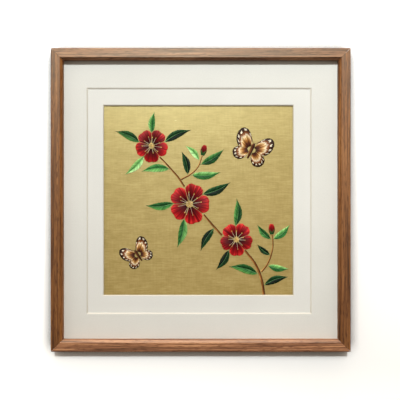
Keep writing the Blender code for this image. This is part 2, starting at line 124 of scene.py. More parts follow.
def walnutWood(name, grainAxis, shift, tone, saturation=1.0):
    # Oiled walnut, waxed to a satin: planed straight grain with open pores. The cut side walls stay dull.
    material, tree, shader = newMaterial(name, {
        "Roughness": woodLook["waxed"], "IOR": 1.5, "Specular IOR Level": woodLook["gloss"],
        "Specular Tint": hexColour(woodLook["glossColour"])})
    coords = addNode(tree, "TexCoord").outputs["Object"]
    moved = addNode(tree, "Mapping", inputs={"Vector": coords, "Location": shift}).outputs[0]

    def scaled(pair):
        scale = [pair[1]] * 3
        scale[grainAxis] = pair[0]
        return scale

    figure = streakNoise(tree, moved, scaled(woodLook["figure"]), 3, 0.55, 0.8)
    lines = streakNoise(tree, moved, scaled(woodLook["lines"]), 4, 0.6, 0.3)
    pores = streakNoise(tree, moved, scaled(woodLook["pores"]), 2, 0.5)
    grain = blendValues(tree, figure, lines, woodLook["lineShare"])
    start, full = woodLook["poreEdge"]
    poreMask = addNode(tree, "MapRange", inputs={
        0: pores, 1: start, 2: full, 3: 0, 4: woodLook["poreDepth"]}).outputs[0]
    colour = addNode(tree, "ValToRGB", inputs={0: grain}, stops=woodLook["colours"]).outputs[0]
    colour = addNode(tree, "MixRGB", {"blend_type": "MULTIPLY"},
                     {0: poreMask, 1: colour, 2: hexColour(woodLook["poreColour"])}).outputs[0]
    normal = addNode(tree, "SeparateXYZ", inputs={0: addNode(tree, "NewGeometry").outputs["Normal"]})
    # painted shade and light: the rail's tone is darkened as a face looks down and lightened as it looks right
    toneWithPaintedLightAndShade = addNode(tree, "MapRange", inputs={
        0: normal.outputs["Z"], 1: -0.7, 2: 0, 3: tone * woodLook["under"], 4: tone}).outputs[0]
    right = addNode(tree, "MapRange", inputs={
        0: normal.outputs["X"], 1: 0, 2: 0.7, 3: 1, 4: woodLook["right"]}).outputs[0]
    toneWithPaintedLightAndShade = addNode(tree, "Math", {"operation": "MULTIPLY"}, {0: toneWithPaintedLightAndShade, 1: right}).outputs[0]
    colour = addNode(tree, "HueSaturation", inputs={"Saturation": saturation, "Value": toneWithPaintedLightAndShade,
                                                    "Color": colour}).outputs[0]
    tree.links.new(colour, shader.inputs["Base Color"])
    facing = addNode(tree, "Math", {"operation": "ABSOLUTE"}, {0: normal.outputs["Y"]}).outputs[0]
    dull = addNode(tree, "MapRange", inputs={
        0: facing, 1: 0.1, 2: 0.6, 3: woodLook["sawn"], 4: woodLook["waxed"]}).outputs[0]
    tree.links.new(dull, shader.inputs["Roughness"])
    height = blendValues(tree, lines, pores, -0.5)
    bump = addNode(tree, "Bump", inputs={"Strength": 0.35, "Distance": woodLook["relief"], "Height": height})
    tree.links.new(bump.outputs[0], shader.inputs["Normal"])
    return material


matLook = {
    "roughness": 0.9, "gloss": 0.25,
    "tooth": 900,        # cells to the metre. Real tooth is 0.2 mm, too fine to show, and is drawn 1.1 mm
    "cloud": 14,         # 70 mm
    "relief": 0.0002,    # metres
}


def matBoard(name, face, core):
    # Cotton mat board: a soft toothed face paper over a creamier core, which the bevel cut lays open
    material, tree, shader = newMaterial(name, {"Roughness": matLook["roughness"],
                                                "Specular IOR Level": matLook["gloss"]})
    coords = addNode(tree, "TexCoord").outputs["Object"]
    tooth = streakNoise(tree, coords, [matLook["tooth"]] * 3, 3, 0.6)
    cloud = streakNoise(tree, coords, [matLook["cloud"]] * 3, 2, 0.5)
    mottle = blendValues(tree, tooth, cloud, 0.8)
    paper = addNode(tree, "ValToRGB", inputs={0: mottle}, stops=face).outputs[0]
    normal = addNode(tree, "SeparateXYZ", inputs={0: addNode(tree, "NewGeometry").outputs["Normal"]})
    facing = addNode(tree, "Math", {"operation": "ABSOLUTE"}, {0: normal.outputs["Y"]}).outputs[0]
    cut = addNode(tree, "MapRange", inputs={0: facing, 1: 0.95, 2: 0.85, 3: 0, 4: 1}).outputs[0]
    colour = addNode(tree, "MixRGB", inputs={0: cut, 1: paper, 2: hexColour(core)}).outputs[0]
    tree.links.new(colour, shader.inputs["Base Color"])
    bump = addNode(tree, "Bump", inputs={"Strength": 0.25, "Distance": matLook["relief"], "Height": tooth})
    tree.links.new(bump.outputs[0], shader.inputs["Normal"])
    return material


def plainBoard(name, colours, perMetre, roughness, depth):
    # Pressed board and felt: short fibres in every direction
    material, tree, shader = newMaterial(name, {"Roughness": roughness, "Specular IOR Level": 0.2})
    coords = addNode(tree, "TexCoord").outputs["Object"]
    fibre = streakNoise(tree, coords, (perMetre, perMetre, perMetre), 6, 0.7, 0.6)
    colour = addNode(tree, "ValToRGB", inputs={0: fibre}, stops=colours).outputs[0]
    tree.links.new(colour, shader.inputs["Base Color"])
    bump = addNode(tree, "Bump", inputs={"Strength": 0.5, "Distance": depth, "Height": fibre})
    tree.links.new(bump.outputs[0], shader.inputs["Normal"])
    return material


zincLook = {
    "colours": ((0, "#9c9b97"), (1, "#c4c3be")), "roughness": 0.36,
    "spangle": 450,               # crystals 2.2 mm across
    "rolled": (120, 2500, 2500),  # rolling marks, 8 mm by 0.4 mm
    "relief": 0.0001,             # metres
}


def zincSteel(name):
    # Stamped, zinc-plated steel strip: grey metal, faint crystals and rolling marks
    material, tree, shader = newMaterial(name, {"Metallic": 1, "Roughness": zincLook["roughness"]})
    coords = addNode(tree, "TexCoord").outputs["Object"]
    spangle = addNode(tree, "TexVoronoi", {"feature": "F1"},
                      {"Vector": coords, "Scale": zincLook["spangle"]}).outputs["Color"]
    grey = addNode(tree, "ValToRGB", inputs={0: spangle}, stops=zincLook["colours"]).outputs[0]
    tree.links.new(grey, shader.inputs["Base Color"])
    rolled = streakNoise(tree, coords, zincLook["rolled"], 2)
    bump = addNode(tree, "Bump", inputs={"Strength": 0.2, "Distance": zincLook["relief"], "Height": rolled})
    tree.links.new(bump.outputs[0], shader.inputs["Normal"])
    return material


silkLook = {
    "colours": ((0.22, "#957b40"), (0.5, "#a3884e"), (0.78, "#af965d")),
    "weft": (42, 440),        # thick and thin weft, 24 mm by 2.3 mm. Real picks are 0.2 mm, too fine to show
    "picks": (160, 900),      # single picks, 6 mm by 1.1 mm
    "warp": (380, 45),        # faint warp lines, 2.6 mm by 22 mm
    "wave": (34, 62),         # slow patches of lighter and darker colour, partly random tone and partly painted sheen for the cloth's uneven tension, 29 mm by 16 mm
    # x, y, width, height and colour of each slub, in mm on the panel
    "slubs": ((-36, 126, 5.0, 0.9, "#e2d7a8"), (-37.5, 126.6, 0.8, 0.7, "#3b2c14"),
              (-4, 108, 2.4, 0.6, "#d9cc97"), (3, 99, 1.8, 0.6, "#7b6635"), (-121, 42, 2.6, 0.6, "#d9cc97")),
    "roughness": 0.33, "ior": 1.8, "gloss": 0.52, "glossColour": "#fff8b8",
    "relief": 0.00025,        # metres
    "anisotropic": 0.3,
    "turned": 0.25,           # a quarter turn, because the weft runs across and its shine is drawn out upright
}


def goldSilk(name):
    # Plain-woven degummed silk in old gold: a slubby weft lies over a fine warp, so it shines along its height
    material, tree, shader = newMaterial(name, {
        "Roughness": silkLook["roughness"], "IOR": silkLook["ior"], "Specular IOR Level": silkLook["gloss"],
        "Specular Tint": hexColour(silkLook["glossColour"]),
        "Anisotropic": silkLook["anisotropic"], "Anisotropic Rotation": silkLook["turned"]})
    coords = addNode(tree, "TexCoord").outputs["Object"]

    def scaled(pair):
        return (pair[0], 1, pair[1])

    weft = streakNoise(tree, coords, scaled(silkLook["weft"]), 3, 0.55, 0.2)
    picks = streakNoise(tree, coords, scaled(silkLook["picks"]), 2, 0.5)
    warp = streakNoise(tree, coords, scaled(silkLook["warp"]), 2, 0.5)
    wave = streakNoise(tree, coords, scaled(silkLook["wave"]), 2, 0.5, 0.6)
    weave = blendValues(tree, blendValues(tree, weft, picks, 0.6), warp, 0.4)
    # painted sheen in part: the slow patches are mixed into the colour
    tone = blendValues(tree, weave, wave, 0.75)
    colour = addNode(tree, "ValToRGB", inputs={0: tone}, stops=silkLook["colours"]).outputs[0]
    for x, y, width, height, code in silkLook["slubs"]:
        centre = Vector((panel["middle"][0] + x / 1000, 0, panel["middle"][1] + y / 1000))
        spread = Vector((2000 / width, 0, 2000 / height))
        spot = addNode(tree, "Mapping", {"vector_type": "POINT"}, {
            "Vector": coords, "Scale": spread,
            "Location": [-a * b for a, b in zip(centre, spread)]}).outputs[0]
        away = addNode(tree, "VectorMath", {"operation": "LENGTH"}, {0: spot}).outputs["Value"]
        mask = addNode(tree, "MapRange", inputs={0: away, 1: 1.1, 2: 0.5, 3: 0, 4: 0.8}).outputs[0]
        colour = addNode(tree, "MixRGB", inputs={0: mask, 1: colour, 2: hexColour(code)}).outputs[0]
    tree.links.new(colour, shader.inputs["Base Color"])
    bump = addNode(tree, "Bump", inputs={"Strength": 0.2, "Distance": silkLook["relief"], "Height": weave})
    tree.links.new(bump.outputs[0], shader.inputs["Normal"])
    tangent = addNode(tree, "Tangent", {"direction_type": "UV_MAP", "uv_map": "threads"})
    tree.links.new(tangent.outputs[0], shader.inputs["Tangent"])
    return material


threadLook = {
    "roughness": 0.38, "anisotropic": 0.6, "specular": 0.26,
    "fibre": (2.2, 0.16),     # cells to the millimetre across and along a thread
    "relief": 0.0001,         # metres
    "tones": (0.6, 1.4),      # darkest and lightest thread of one colour
    "glint": 0.35,            # how white the shine is, from the thread's own colour to white
}


def silkThread(name, stops, otherSide=None, ragged=0.22, spots=None):
    # Untwisted silk floss in satin stitch: bright along each thread, changing tone where stitches end unevenly.
    # The attribute "stitch" holds the way along the stitch, the side or the way across, the thread's own tone
    # and the piece's own tone.
    material, tree, shader = newMaterial(name, {
        "Roughness": threadLook["roughness"], "Anisotropic": threadLook["anisotropic"],
        "Specular IOR Level": threadLook["specular"]})
    stitch = addNode(tree, "Attribute", {"attribute_name": "stitch"})
    part = addNode(tree, "SeparateColor", inputs={0: stitch.outputs["Color"]}).outputs
    uv = addNode(tree, "UVMap", {"uv_map": "threads"}).outputs[0]
    fibre = streakNoise(tree, uv, (*threadLook["fibre"], 1), 3, 0.6)
    along = blendValues(tree, blendValues(tree, part["Red"], part["Blue"], ragged), fibre, 0.25)
    colour = addNode(tree, "ValToRGB", inputs={0: along}, stops=stops).outputs[0]
    if otherSide:
        other = addNode(tree, "ValToRGB", inputs={0: along}, stops=otherSide).outputs[0]
        colour = addNode(tree, "MixRGB", inputs={0: part["Green"], 1: colour, 2: other}).outputs[0]
    if spots:
        # pale dots in a row along the wing's edge
        turns = addNode(tree, "Math", {"operation": "MULTIPLY"},
                        {0: part["Green"], 1: spots["count"] * 2 * math.pi}).outputs[0]
        wave = addNode(tree, "Math", {"operation": "SINE"}, {0: turns}).outputs[0]
        inRow = addNode(tree, "Math", {"operation": "COMPARE"},
                        {0: along, 1: spots["at"], 2: spots["size"]}).outputs[0]
        inTurn = addNode(tree, "Math", {"operation": "GREATER_THAN"}, {0: wave, 1: 0.2}).outputs[0]
        mask = addNode(tree, "Math", {"operation": "MULTIPLY"}, {0: inRow, 1: inTurn}).outputs[0]
        colour = addNode(tree, "MixRGB",
                         inputs={0: mask, 1: colour, 2: hexColour(spots["colour"])}).outputs[0]
    bright = blendValues(tree, blendValues(tree, part["Blue"], stitch.outputs["Alpha"], 0.6), fibre, 0.4)
    darkest, lightest = threadLook["tones"]
    bright = addNode(tree, "MapRange", inputs={0: bright, 1: 0, 2: 1, 3: darkest, 4: lightest}).outputs[0]
    colour = addNode(tree, "HueSaturation", inputs={"Value": bright, "Color": colour}).outputs[0]
    tree.links.new(colour, shader.inputs["Base Color"])
    # light that has passed through dyed threads keeps some of their colour
    glint = addNode(tree, "MixRGB",
                    inputs={0: threadLook["glint"], 1: colour, 2: hexColour("#ffffff")}).outputs[0]
    tree.links.new(glint, shader.inputs["Specular Tint"])
    bump = addNode(tree, "Bump", inputs={"Strength": 0.25, "Distance": threadLook["relief"], "Height": fibre})
    tree.links.new(bump.outputs[0], shader.inputs["Normal"])
    tangent = addNode(tree, "Tangent", {"direction_type": "UV_MAP", "uv_map": "threads"})
    tree.links.new(tangent.outputs[0], shader.inputs["Tangent"])
    return material


threads = {
    "deep": silkThread("silkThreadDeepGreen", ((0, "#041007"), (0.5, "#081b0d"), (1, "#112e16")),
                       ((0, "#08200e"), (0.5, "#11361a"), (1, "#224f26"))),
    "mid": silkThread("silkThreadMidGreen", ((0, "#092813"), (0.5, "#15421b"), (1, "#285d28")),
                      ((0, "#1e5526"), (0.5, "#3b7638"), (1, "#68a454"))),
    "fresh": silkThread("silkThreadFreshGreen", ((0, "#154623"), (0.5, "#2b6a30"), (1, "#468842")),
                        ((0, "#3c7f3c"), (0.5, "#69a856"), (1, "#99cd7f"))),
    "pale": silkThread("silkThreadPaleGreen", ((0, "#3b773a"), (0.5, "#679f50"), (1, "#93c473")),
                       ((0, "#7dbd6f"), (0.5, "#a9d98e"), (1, "#cdeeae"))),
    "vein": silkThread("silkThreadVein", ((0, "#3f7a45"), (1, "#7fb873"))),
    "red": silkThread("silkThreadRed", ((0, "#280307"), (0.24, "#46040a"), (0.52, "#6a070d"),
                                        (0.8, "#961016"), (1, "#c02b29")), ragged=0.34),
    "bark": silkThread("silkThreadBark", ((0, "#3c1f12"), (0.4, "#6e3f20"), (0.75, "#a06a35"),
                                          (1, "#c99555"))),
    "ochre": silkThread("silkThreadOchre", ((0, "#8a5a1e"), (0.5, "#c8912f"), (1, "#ecc667"))),
    "cream": silkThread("silkThreadCream", ((0, "#cbb489"), (1, "#f4ead0"))),
    "wing": silkThread("silkThreadWing", ((0, "#2a140c"), (0.20, "#5a2d1c"), (0.36, "#a86f34"),
                                          (0.50, "#ddb77c"), (0.58, "#efe2c4"), (0.66, "#94552a"),
                                          (0.80, "#41200f"), (1, "#1f0e08")),
                       ragged=0.16, spots={"count": 6, "at": 0.84, "size": 0.05, "colour": "#f0e4c8"}),
    "body": silkThread("silkThreadBody", ((0, "#1d0d08"), (0.5, "#4a2616"), (1, "#7c4a28"))),
}
print("materials made:", len(bpy.data.materials))


# Stitching

stitchLook = {
    "pitch": 0.9,        # mm from thread to thread. Real floss lies 0.3 to 0.5 mm apart, too fine to show
    "columns": 4,        # mesh columns to a thread
    "relief": 0.14,      # mm from groove to ridge
    "ragged": 0.35,      # mm by which stitches miss the drawn line
    "sunk": 0.2,         # mm that a patch reaches into the silk
    "streak": 0.45,      # how fast the tone changes from thread to thread
    "drift": 0.75,       # how far it changes along with the threads beside it
    "scatter": 0.2,      # and by itself
    "edge": 0.26,        # mm of thread at a patch's edge
    "strandTurn": 2.4,   # mm from one stitch of a stem to the next
    "strandRelief": (0.12, 0.07),    # mm between strands, and along one
}


def newWork():
    bm = bmesh.new()
    bm.verts.layers.float_color.new("stitch")
    bm.loops.layers.uv.new("threads")
    return bm


def closeBelow(bm):
    # walls down from the newest patch's rim, the only one still open, and a floor just under the silk
    rim = [edge for edge in bm.edges if edge.is_boundary]
    drawn = bmesh.ops.extrude_edge_only(bm, edges=rim)["geom"]
    for item in drawn:
        if isinstance(item, bmesh.types.BMVert):
            item.co.z = -stitchLook["sunk"]
    bmesh.ops.holes_fill(bm, edges=[item for item in drawn
                                    if isinstance(item, bmesh.types.BMEdge) and item.is_boundary])


def satin(bm, count, rows, lay, lift, double=False, grain=None, tone=0.5, index=0, base=0.0):
    # One closed patch of satin stitch with this many threads. lay(u, v) gives a point, u across the threads and
    # v along them, and lift(u, v) its height. A double patch has threads on both sides of its middle line.
    tint, uvs = bm.verts.layers.float_color["stitch"], bm.loops.layers.uv["threads"]
    perThread = stitchLook["columns"]
    columns, seed = count * perThread, random.uniform(0, 500)
    shades, ends = {}, {}
    for side in (-1, 1):
        for thread in range(count):
            drift = noise.noise((thread * stitchLook["streak"], seed, side * 7.3))
            own = random.uniform(-stitchLook["scatter"], stitchLook["scatter"])
            shades[side, thread] = min(1, max(0, 0.5 + stitchLook["drift"] * drift + own))
            ends[side, thread] = random.uniform(-1, 1)
    made = bmesh.ops.create_grid(bm, x_segments=columns, y_segments=rows, size=0.5)["verts"]
    spots = {}
    for vert in made:
        u, v = vert.co.x + 0.5, vert.co.y + 0.5
        column = round(u * columns)
        thread = min(column // perThread, count - 1)
        ridge = math.sin(math.pi * (column % perThread) / perThread)
        if double:
            v = 2 * v - 1
        side = -1 if v < 0 else 1
        along = abs(v)
        length = max((lay(u, side) - lay(u, 0)).length, 0.5)
        miss = along ** 4 * stitchLook["ragged"] / length * (ends[side, thread] + 1.2 * (ridge - 1))
        point = lay(u, side * (along + miss))
        swell = math.sin(math.pi * (0.12 + 0.8 * along))
        vert.co = (point.x, point.y, base + lift(u, along) + stitchLook["relief"] * ridge * swell)
        vert[tint] = (along, (side + 1) / 2 if double else u, shades[side, thread], tone)
        spots[vert] = (column / perThread * stitchLook["pitch"], along * length, v)
    for face in {face for vert in made for face in vert.link_faces}:
        face.material_index = index
        side = -1 if min(spots[loop.vert][2] for loop in face.loops) < -1e-6 else 1
        for loop in face.loops:
            if grain:
                way, point = grain(side), loop.vert.co.xy
                loop[uvs].uv = (point.dot(Vector((way.y, -way.x))), point.dot(way))
            else:
                loop[uvs].uv = spots[loop.vert][:2]
    closeBelow(bm)


def smoothLine(points, steps):
    # a curve through the points: steps places on each stretch between two of them
    knots = [Vector(point) for point in points]
    line = []
    for i in range(len(knots) - 1):
        first, second = knots[i], knots[i + 1]
        slopeIn = (second - knots[i - 1]) / 2 if i else second - first
        slopeOut = (knots[i + 2] - first) / 2 if i + 2 < len(knots) else second - first
        for step in range(steps + (i == len(knots) - 2)):
            t = step / steps
            line.append((2 * t ** 3 - 3 * t ** 2 + 1) * first + (t ** 3 - 2 * t ** 2 + t) * slopeIn
                        + (3 * t ** 2 - 2 * t ** 3) * second + (t ** 3 - t ** 2) * slopeOut)
    return line


def cord(bm, line, widthAt, plump=0.34, strands=1, lean=0.0, index=0, tone=0.5, base=0.0):
    # Rows of stem stitch side by side along a line. Each stitch leans a little, like a rope's strand.
    tint, uvs = bm.verts.layers.float_color["stitch"], bm.loops.layers.uv["threads"]
    reach = [0.0]
    for first, second in zip(line, line[1:]):
        reach.append(reach[-1] + (second - first).length)
    whole = reach[-1]
    columns = max(6, round(whole / stitchLook["pitch"] * 2.5))
    rows = 4 * strands + 2
    seed = random.uniform(0, 500)
    made = bmesh.ops.create_grid(bm, x_segments=columns, y_segments=rows, size=0.5)["verts"]
    spots = {}
    for vert in made:
        u, v = vert.co.x + 0.5, vert.co.y + 0.5
        goal = u * whole
        step = next((i for i in range(1, len(reach)) if reach[i] >= goal - 1e-9), len(reach) - 1)
        share = (goal - reach[step - 1]) / max(reach[step] - reach[step - 1], 1e-9)
        way = (line[step] - line[step - 1]).normalized()
        point = line[step - 1].lerp(line[step], share)
        width = widthAt(u)
        out = Vector((-way.y, way.x)) * (v - 0.5) * width
        ridge = abs(math.sin(math.pi * v * strands))
        turn = math.sin(2 * math.pi * (goal / stitchLook["strandTurn"] + lean * v * strands))
        between, onStrand = stitchLook["strandRelief"]
        height = plump * width * math.sin(math.pi * v) ** 0.6 + between * ridge + onStrand * turn * ridge
        vert.co = (*(point + out), base + stitchLook["edge"] * 0.5 + height)
        strand = min(int(v * strands), strands - 1)
        shade = 0.5 + 0.8 * noise.noise((strand * 1.7 + seed, goal * 0.11, 0))
        vert[tint] = (v if strands > 1 else 0.3 + 0.5 * v, u, min(1, max(0, shade)), tone)
        spots[vert] = (v * width, goal)
    for face in {face for vert in made for face in vert.link_faces}:
        face.material_index = index
        for loop in face.loops:
            loop[uvs].uv = spots[loop.vert]
    closeBelow(bm)


def knot(bm, x, y, radius, base, index=0):
    # a French knot: a small flattened ball of wound thread
    tint = bm.verts.layers.float_color["stitch"]
    made = bmesh.ops.create_icosphere(bm, subdivisions=2, radius=radius)["verts"]
    shade = random.random()
    for vert in made:
        height = 0.5 + 0.5 * vert.co.z / radius
        # painted shade and highlight: the knot's colour runs from dark at its foot on the silk to light on its
        # top
        vert[tint] = (0.35 + 0.6 * height, 0.5, shade, 0.5)
        for face in vert.link_faces:
            face.material_index = index
        turn = 1 + 0.08 * math.sin(6 * math.atan2(vert.co.y, vert.co.x) + 3 * height)
        vert.co = (x + vert.co.x * turn, y + vert.co.y * turn, base + vert.co.z * 0.75)


def finishPiece(name, bm, materials, nodes, slot):
    bmesh.ops.recalc_face_normals(bm, faces=bm.faces)
    bmesh.ops.transform(bm, matrix=silkToWorld, verts=bm.verts)
    mesh = bpy.data.meshes.new(name)
    bm.to_mesh(mesh)
    bm.free()
    for material in materials:
        mesh.materials.append(material)
    mesh.polygons.foreach_set("use_smooth", [True] * len(mesh.polygons))
    piece = bpy.data.objects.new(name, mesh)
    bpy.context.scene.collection.objects.link(piece)
    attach(piece, "root")
    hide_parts(*nodes)
    return piece


leaves = {
    # x and y of the foot, heading, length, width, bend and thread of each leaf
    "rows": (
        (105.8, -133, 18, 38, 12, 2.5, "deep"), (92.6, -116, 166, 45, 14, -3, "mid"),
        (111.5, -104, -8, 32, 11, -2, "fresh"), (112.2, -86, 140, 25, 9, 1.5, "deep"),
        (119.8, -61, 42, 33, 11, -2.5, "fresh"), (113.4, -61, 132, 30, 10, 2, "mid"),
        (48.0, -80.0, 236, 36, 12, 2.5, "deep"), (59.2, -39.2, 88, 42, 13, -3, "mid"),
        (-22.6, -31.0, 256, 45, 14, 3, "fresh"), (23.6, -45.6, 240, 40, 12, -2.5, "deep"),
        (-40.4, -5.4, 184, 43, 13, 3, "mid"), (-9, 39.6, 6, 44, 13, -3, "fresh"),
        (-16.6, 42.2, 106, 36, 12, -2.5, "deep"), (5.4, 57, 34, 42, 13, -2.5, "mid"),
        (8.4, 9.6, 24, 46, 14, -3, "deep"), (0.6, 64.5, 134, 30, 10, -2, "pale"),
        (-47, 49.8, 186, 43, 13, -3, "fresh"), (-52.2, 93, 24, 44, 13, 3, "deep"),
        (-73.8, 107.8, 82, 32, 11, 2, "fresh"), (-94.6, 92.8, 156, 40, 13, -2.5, "mid"),
        (-86.8, 68.4, 224, 40, 12, 2.5, "pale"),
    ),
    "slant": 0.14,       # how far a stitch's outer end lies nearer the tip, as a share of the leaf
    "crown": 0.55,       # mm that each half swells
    "vein": (0.8, 0.35),     # width of the middle vein at its foot and its end, in mm
    "veinReach": (-0.05, 0.97),      # where it starts, and its length, by the leaf's length
    "cells": 12,         # mesh rows along a stitch
}


def leafBreadth(u):
    # narrow at the foot, widest before the middle, drawn to a tip
    return 0.05 + 0.95 * max(0.0, math.sin(math.pi * u ** 0.78)) ** 0.9 * (1 - u ** 6)


def makeLeaf(number, row):
    x, y, heading, length, width, bend, thread = row
    turn = math.radians(heading)
    forward = Vector((math.cos(turn), math.sin(turn)))
    sideways = Vector((-forward.y, forward.x))

    def middle(u):
        return Vector((x, y)) + forward * (length * u) + sideways * (bend * math.sin(math.pi * u))

    def lay(u, v):
        outer = u + 4 * leaves["slant"] * u * (1 - u)
        side = -1 if v < 0 else 1
        edge = middle(outer) + sideways * (side * width / 2 * leafBreadth(outer))
        return middle(u).lerp(edge, abs(v))

    def lift(u, v):
        swell = leaves["crown"] * math.sin(math.pi * v) ** 0.8 * (0.6 + 0.4 * math.sin(math.pi * u))
        return stitchLook["edge"] * (0.6 + 0.4 * v) + swell

    def grain(side):
        return (lay(0.5, side) - lay(0.5, 0)).normalized()

    bm = newWork()
    count = round(length / stitchLook["pitch"])
    satin(bm, count, leaves["cells"], lay, lift, double=True, grain=grain, tone=random.random())
    first, last = leaves["vein"]
    foot, reach = leaves["veinReach"]
    line = [middle(foot + reach * step / 24) for step in range(25)]
    cord(bm, line, lambda u: first + (last - first) * u, plump=0.5, index=1, tone=random.random(), base=0.16)
    finishPiece(f"leafStitches{number:02d}", bm, [threads[thread], threads["vein"]], [f"leaf_{number:02d}"],
                thread)


for number, row in enumerate(leaves["rows"], 1):
    makeLeaf(number, row)
print("leaves stitched:", len(leaves["rows"]))


stems = {
    # points, width at both ends in mm, and rows of stem stitch side by side
    "stem_foot": (((104, -153), (100, -126), (90, -101), (73.4, -79.2)), 4.6, 3.4, 4),
    "stem_middle": (((37.2, -55.5), (27, -44.5), (17, -33), (8.4, -22.9)), 3.4, 3.0, 3),
    "stem_top": (((-22.4, 21.4), (-31, 35), (-44, 50), (-61.0, 68.2)), 3.0, 2.4, 3),
    "twig_right": (((99.6, -113.2), (108, -103), (115, -87), (118, -70), (116.5, -55)), 2.6, 1.8, 2),
    "twig_upper": (((-27.2, 33.0), (-14, 40), (-1, 52), (6, 70)), 2.4, 1.8, 2),
}
for node, (points, first, last, strands) in stems.items():
    bm = newWork()
    cord(bm, smoothLine(points, 12), lambda u: first + (last - first) * u,
         plump=0.24, strands=strands, lean=0.5, tone=0.5)
    finishPiece(node.replace("_", "") + "Stitches", bm, [threads["bark"]], [node], "bark")
print("stems stitched:", len(stems))


blossoms = {
    "rows": {"low": (60, -62, 27, 20), "middle": (-14, -6, 33, 35), "top": (-74, 86, 27, 18)},
    "petals": 5,
    "inner": 0.17,       # share of the radius where the petals start
    "gap": 1.6,          # degrees of bare silk between two petals
    "crown": 0.75,       # mm that a petal swells
    "cells": 12,         # mesh rows along a stitch
    "filaments": 11,
    "filamentReach": (0.42, 0.58),       # shortest and longest, by the radius
    "filamentBend": 1.2,                 # mm to either side
    "filamentWidth": 0.55,
    "knot": 0.85,        # mm, radius of a French knot
    "eye": 0.171,        # the knots' disc, by the radius
    "rings": ((0.0, 1), (0.42, 6), (0.85, 12)),      # each ring's place in the disc, and its knots
}


def petalReach(petal, across):
    # rounded lobes with a small notch, unlike in length
    length = 1 - 0.035 * (petal * 2 % blossoms["petals"]) / (blossoms["petals"] - 1)
    return length * (1 - 0.25 * abs(across) ** 3.2 - 0.045 * math.exp(-(across / 0.2) ** 2))


def makeBlossom(name, x, y, radius, turn):
    centre, whole = Vector((x, y)), 360 / blossoms["petals"]
    bm = newWork()
    for petal in range(blossoms["petals"]):
        def lay(u, v):
            across = 2 * u - 1
            opened = math.sin(math.pi / 2 * min(1, 1.6 * max(v, 0)))
            half = (whole - blossoms["gap"]) / 2 * (0.86 + 0.14 * opened)
            angle = math.radians(turn + whole * (petal + 0.5) + across * half)
            start = blossoms["inner"] * radius
            out = start + (radius * petalReach(petal, across) - start) * v
            return centre + Vector((math.cos(angle), math.sin(angle))) * out

        def lift(u, v):
            across = 2 * u - 1
            swell = blossoms["crown"] * (1 - across ** 2) ** 0.7 * (0.45 + 0.55 * math.sin(math.pi * v ** 1.3))
            return stitchLook["edge"] + swell

        count = round(math.radians(whole) * radius * 0.92 / stitchLook["pitch"])
        satin(bm, count, blossoms["cells"], lay, lift, tone=random.random())
    finishPiece(name + "BlossomStitches", bm, [threads["red"]], ["blossom_" + name], "red")

    bm = newWork()
    eye = blossoms["eye"] * radius
    shortest, longest = blossoms["filamentReach"]
    bend = blossoms["filamentBend"]
    for step in range(blossoms["filaments"]):
        angle = math.radians(turn + 360 * (step + random.uniform(-0.25, 0.25)) / blossoms["filaments"])
        way = Vector((math.cos(angle), math.sin(angle)))
        far = radius * random.uniform(shortest, longest)
        side = Vector((-way.y, way.x)) * random.uniform(-bend, bend)
        line = smoothLine([centre + way * eye * 0.4, centre + way * far * 0.6 + side * 0.5,
                           centre + way * far + side], 6)
        cord(bm, line, lambda u: blossoms["filamentWidth"], plump=0.5, index=1, base=0.72)
        knot(bm, *line[-1], blossoms["knot"], 1.2)
    for ring, (share, number) in enumerate(blossoms["rings"]):
        for step in range(number):
            angle = 2 * math.pi * (step + 0.5 * ring) / number
            knot(bm, x + eye * share * math.cos(angle), y + eye * share * math.sin(angle),
                 blossoms["knot"] * 0.95, 0.85 - 0.15 * ring)
    finishPiece(name + "StamenStitches", bm, [threads["ochre"], threads["cream"]], ["stamens_" + name], "ochre")


for name, row in blossoms["rows"].items():
    makeBlossom(name, *row)
print("blossoms stitched:", len(blossoms["rows"]))


buds = {
    "rows": {"right": (116.2, -53.4, 92, 16, 10), "upper": (6.6, 71.6, 76, 16, 10)},
    "calyx": ((-0.32, 0.46), (0.32, 0.46), (0.0, 0.40)),      # each lobe's place across, and its length
    "lobe": 0.34,            # width of a calyx lobe by the bud's
    "crown": 0.75,
    "cells": (14, 8),        # mesh rows along a stitch of the bud, and of a lobe
}


def makeBud(name, x, y, heading, length, width):
    turn = math.radians(heading)
    forward = Vector((math.cos(turn), math.sin(turn)))
    sideways = Vector((-forward.y, forward.x))

    def breadth(v):
        return 0.16 + 0.84 * math.sin(math.pi * min(1, 0.08 + 0.86 * v)) ** 0.7

    def lay(u, v):
        v = min(v, 1.05)
        across = (u - 0.5) * width * breadth(min(1, max(0, v)))
        return Vector((x, y)) + forward * (length * v) + sideways * across

    def lift(u, v):
        return stitchLook["edge"] + buds["crown"] * math.sin(math.pi * u) ** 0.7

    bm = newWork()
    budCells, lobeCells = buds["cells"]
    satin(bm, round(width / stitchLook["pitch"]) + 2, budCells, lay, lift, tone=0.6)
    for across, share in buds["calyx"]:
        def layLobe(u, v):
            taper = max(0.0, 1 - v) ** 0.7 * buds["lobe"] * width
            foot = Vector((x, y)) - forward * 0.6
            return (foot + forward * ((length * share + 0.6) * v)
                    + sideways * (across * width * (0.35 + 0.65 * v) + (u - 0.5) * taper))

        def liftLobe(u, v):
            return 0.30 * math.sin(math.pi * u)

        satin(bm, 5, lobeCells, layLobe, liftLobe, tone=0.5, index=1, base=0.75)
    finishPiece(name + "BudStitches", bm, [threads["red"], threads["mid"]], ["bud_" + name], "red")


for name, row in buds["rows"].items():
    makeBud(name, *row)
print("buds stitched:", len(buds["rows"]))


